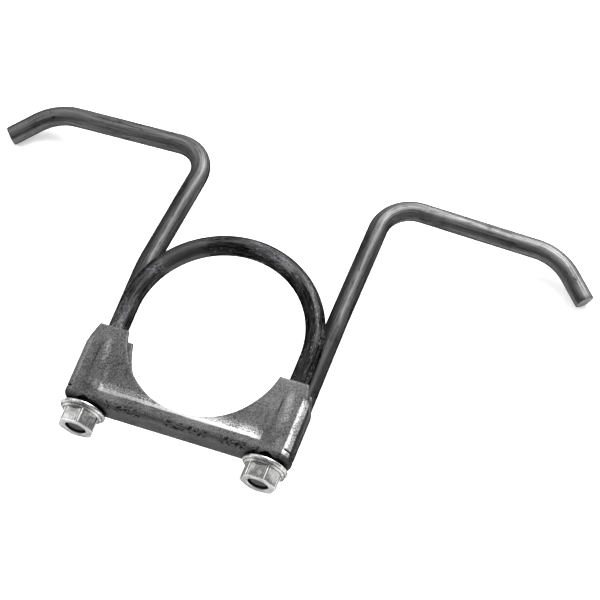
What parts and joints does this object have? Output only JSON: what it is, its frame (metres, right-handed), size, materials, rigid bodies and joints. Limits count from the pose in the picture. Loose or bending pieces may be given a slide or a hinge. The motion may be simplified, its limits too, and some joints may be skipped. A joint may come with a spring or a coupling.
{
  "type": "exhaust clamp with hanger rods",
  "caption": "Saddle-type U-bolt pipe clamp with a pressed steel saddle, flange nuts and two bent hanger rods welded to its back.",
  "frame": {"origin": "centre of the pipe seat, on the axis of the pipe that the saddle holds, halfway across the saddle", "axes": "+Z along the pipe's axis, towards the pressed front face; +Y from the nuts towards the loop of the U-bolt; X from leg to leg"},
  "size_m": [0.3016, 0.172, 0.0546],
  "materials": {
    "bolt_steel": "dark oiled bar steel with lengthwise drawing marks and a rolled thread",
    "pressed_steel": "pressed hot-rolled sheet, mottled grey with bright rubbed bends",
    "zinc_plate": "bright zinc plate",
    "rod_steel": "drawn round bar, mid grey with long dark streaks, sawn ends",
    "weld_metal": "rippled weld bead"
  },
  "bodies": {
    "clamp_body": {"saddle": "pressed_steel", "hanger_rod_left": "rod_steel", "hanger_rod_right": "rod_steel", "weld_inner_left": "weld_metal", "weld_outer_left": "weld_metal", "weld_inner_right": "weld_metal", "weld_outer_right": "weld_metal"},
    "u_bolt": {"u_bolt": "bolt_steel"},
    "nut_left": {"flange_nut_left": "zinc_plate"},
    "nut_right": {"flange_nut_right": "zinc_plate"}
  },
  "joints": [
    {"name": "u_bolt_travel", "type": "slide", "parent": "clamp_body", "child": "u_bolt", "axis": [0, -1, 0], "range_m": [-0.00317, 0.01058]},
    {"name": "nut_left_spin", "type": "hinge", "parent": "clamp_body", "child": "nut_left", "pos_m": [-0.045, -0.0525, 0], "axis": [0, 1, 0], "range_deg": [-725, 2405]},
    {"name": "nut_right_spin", "type": "hinge", "parent": "clamp_body", "child": "nut_right", "pos_m": [0.045, -0.0525, 0], "axis": [0, 1, 0], "range_deg": [-725, 2405]}
  ],
  "couplings": [
    {"joint": "nut_left_spin", "follows": "u_bolt_travel", "rad_per_m": 3957.9},
    {"joint": "nut_right_spin", "follows": "u_bolt_travel", "rad_per_m": 3957.9}
  ]
}
